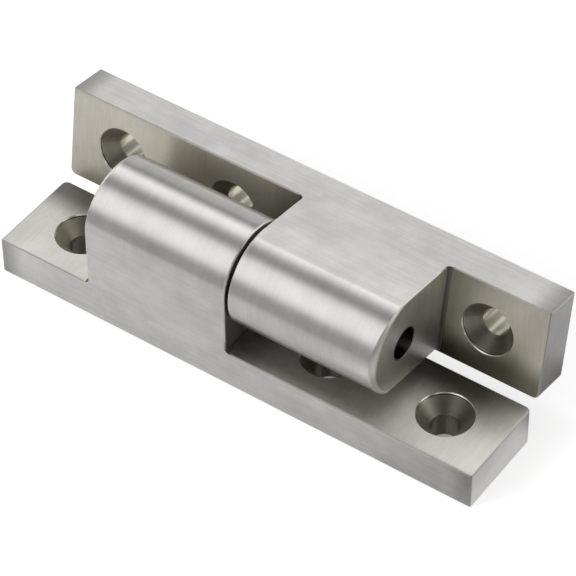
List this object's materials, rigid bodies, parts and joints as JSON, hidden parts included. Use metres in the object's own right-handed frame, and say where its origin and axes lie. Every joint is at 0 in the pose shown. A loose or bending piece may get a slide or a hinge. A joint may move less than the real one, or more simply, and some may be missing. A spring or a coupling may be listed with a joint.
{
  "type": "cabinet hinge",
  "caption": "Heavy screw-on hinge for a steel cabinet door: thick bar leaves with round-nosed knuckles that turn on a concealed pin.",
  "frame": {"origin": "centre of the front leaf's mounting face, straight below the pin", "axes": "+X along the pin, -Z out of the front leaf's mounting face, +Y from the front leaf's outer edge to the rear leaf"},
  "size_m": [0.1103, 0.0336, 0.0324],
  "materials": {
    "brushed_leaf": "satin, belt brushed along each face",
    "pin_steel": "ground"
  },
  "bodies": {
    "front": {"front_leaf": "brushed_leaf", "hinge_pin": "pin_steel"},
    "rear": {"rear_leaf": "brushed_leaf"}
  },
  "joints": [
    {"name": "leaf_turn", "type": "hinge", "parent": "front", "child": "rear", "pos_m": [0, 0, 0.022], "axis": [1, 0, 0], "range_deg": [-5.5, 201.5]}
  ]
}
